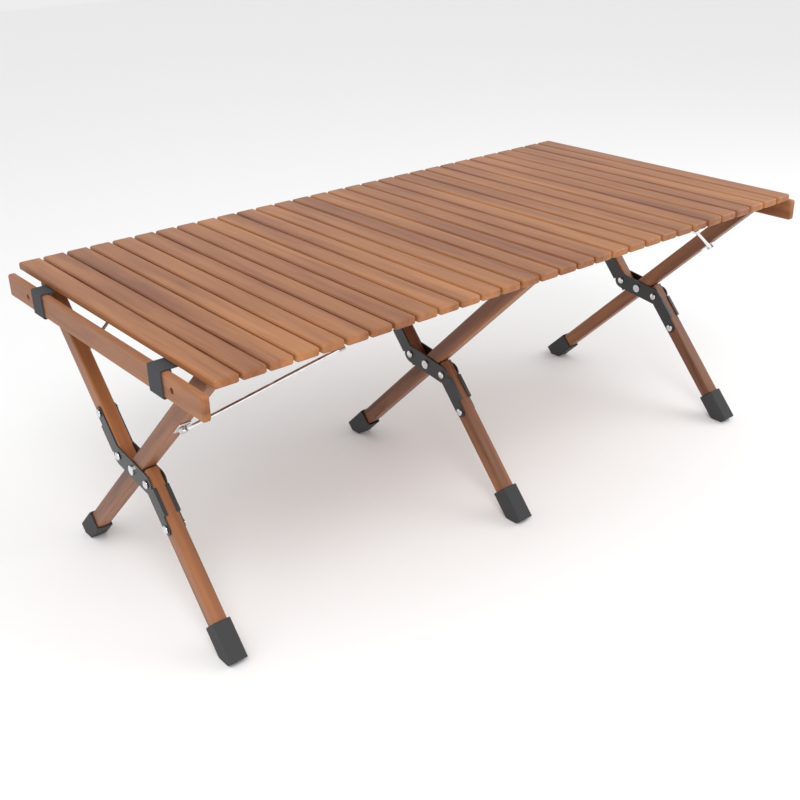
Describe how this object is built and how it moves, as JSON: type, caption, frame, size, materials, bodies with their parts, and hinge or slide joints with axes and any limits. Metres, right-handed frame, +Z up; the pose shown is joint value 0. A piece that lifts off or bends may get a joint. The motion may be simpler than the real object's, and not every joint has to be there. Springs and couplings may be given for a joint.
{
  "type": "folding picnic table",
  "caption": "Low folding picnic table with a roll-up slatted wooden top on crossed wooden legs with riveted steel hubs.",
  "frame": {"origin": "on the floor, under the middle of the table top", "axes": "+X along the table, +Y to the back, +Z up"},
  "size_m": [1.2406, 0.6, 0.474],
  "materials": {
    "wood_slats": "oiled",
    "wood_legs": "oiled",
    "webbing": "woven",
    "black_steel": "satin",
    "bright_steel": "polished",
    "rubber_feet": "matte"
  },
  "bodies": {
    "frame_middle": {"through_leg_middle": "wood_legs", "foot_back_middle": "rubber_feet", "pivot_pin_middle": "bright_steel"},
    "table_top": {"slat_01": "wood_slats", "slat_02": "wood_slats", "slat_03": "wood_slats", "slat_04": "wood_slats", "slat_05": "wood_slats", "slat_06": "wood_slats", "slat_07": "wood_slats", "slat_08": "wood_slats", "slat_09": "wood_slats", "slat_10": "wood_slats", "slat_11": "wood_slats", "slat_12": "wood_slats", "slat_13": "wood_slats", "slat_14": "wood_slats", "slat_15": "wood_slats", "slat_16": "wood_slats", "slat_17": "wood_slats", "slat_18": "wood_slats", "slat_19": "wood_slats", "slat_20": "wood_slats", "slat_21": "wood_slats", "slat_22": "wood_slats", "slat_23": "wood_slats", "slat_24": "wood_slats", "slat_25": "wood_slats", "slat_26": "wood_slats", "slat_27": "wood_slats", "slat_28": "wood_slats", "slat_29": "wood_slats", "slat_30": "wood_slats", "rail_left": "wood_slats", "rail_right": "wood_slats", "strap_front": "webbing", "strap_back": "webbing"},
    "frame_left": {"through_leg_left": "wood_legs", "foot_back_left": "rubber_feet", "pivot_pin_left": "bright_steel"},
    "frame_right": {"through_leg_right": "wood_legs", "foot_back_right": "rubber_feet", "pivot_pin_right": "bright_steel"},
    "split_left": {"upper_leg_left": "wood_legs", "lower_leg_left": "wood_legs", "foot_front_left": "rubber_feet", "hub_left": "black_steel"},
    "split_middle": {"upper_leg_middle": "wood_legs", "lower_leg_middle": "wood_legs", "foot_front_middle": "rubber_feet", "hub_middle": "black_steel"},
    "split_right": {"upper_leg_right": "wood_legs", "lower_leg_right": "wood_legs", "foot_front_right": "rubber_feet", "hub_right": "black_steel"},
    "stay_front_left": {"stay_front_left": "bright_steel"},
    "stay_front_right": {"stay_front_right": "bright_steel"},
    "stay_back_left": {"stay_back_left": "bright_steel"},
    "stay_back_right": {"stay_back_right": "bright_steel"}
  },
  "joints": [
    {"name": "leg_fold", "type": "hinge", "parent": "frame_middle", "child": "split_middle", "pos_m": [0, 0, 0.222], "axis": [1, 0, 0], "range_deg": [0, 86.2]},
    {"name": "top_lift", "type": "slide", "parent": "frame_middle", "child": "table_top", "axis": [0, 0, 1], "range_m": [0, 0.37]},
    {"name": "length_fold", "type": "slide", "parent": "frame_middle", "child": "frame_left", "axis": [1, 0, 0], "range_m": [0, 0.515]},
    {"name": "length_fold_right", "type": "slide", "parent": "frame_middle", "child": "frame_right", "axis": [-1, 0, 0], "range_m": [0, 0.515]},
    {"name": "leg_fold_left", "type": "hinge", "parent": "frame_left", "child": "split_left", "pos_m": [-0.575, 0, 0.222], "axis": [1, 0, 0], "range_deg": [0, 86.3]},
    {"name": "stay_front_left_swing", "type": "hinge", "parent": "frame_left", "child": "stay_front_left", "pos_m": [-0.575, -0.1585, 0.34553], "axis": [0, 0.6884, 0.7254], "range_deg": [0, 118.2]},
    {"name": "stay_back_left_swing", "type": "hinge", "parent": "split_left", "child": "stay_back_left", "pos_m": [-0.575, 0.16789, 0.34061], "axis": [0, 0.7501, -0.6613], "range_deg": [0, 118.2]},
    {"name": "leg_fold_right", "type": "hinge", "parent": "frame_right", "child": "split_right", "pos_m": [0.575, 0, 0.222], "axis": [1, 0, 0], "range_deg": [0, 86.3]},
    {"name": "stay_front_right_swing", "type": "hinge", "parent": "frame_right", "child": "stay_front_right", "pos_m": [0.575, -0.1585, 0.34553], "axis": [0, -0.6884, -0.7254], "range_deg": [0, 118.2]},
    {"name": "stay_back_right_swing", "type": "hinge", "parent": "split_right", "child": "stay_back_right", "pos_m": [0.575, 0.16789, 0.34061], "axis": [0, -0.7501, 0.6613], "range_deg": [0, 118.2]}
  ],
  "couplings": [
    {"joint": "top_lift", "follows": "leg_fold", "m_per_rad": 0.24},
    {"joint": "length_fold_right", "follows": "length_fold", "ratio": 1},
    {"joint": "leg_fold_left", "follows": "leg_fold", "ratio": 1},
    {"joint": "stay_front_left_swing", "follows": "length_fold", "rad_per_m": 3.999},
    {"joint": "stay_back_left_swing", "follows": "length_fold", "rad_per_m": 3.999},
    {"joint": "leg_fold_right", "follows": "leg_fold", "ratio": 1},
    {"joint": "stay_front_right_swing", "follows": "length_fold", "rad_per_m": 3.999},
    {"joint": "stay_back_right_swing", "follows": "length_fold", "rad_per_m": 3.999}
  ]
}
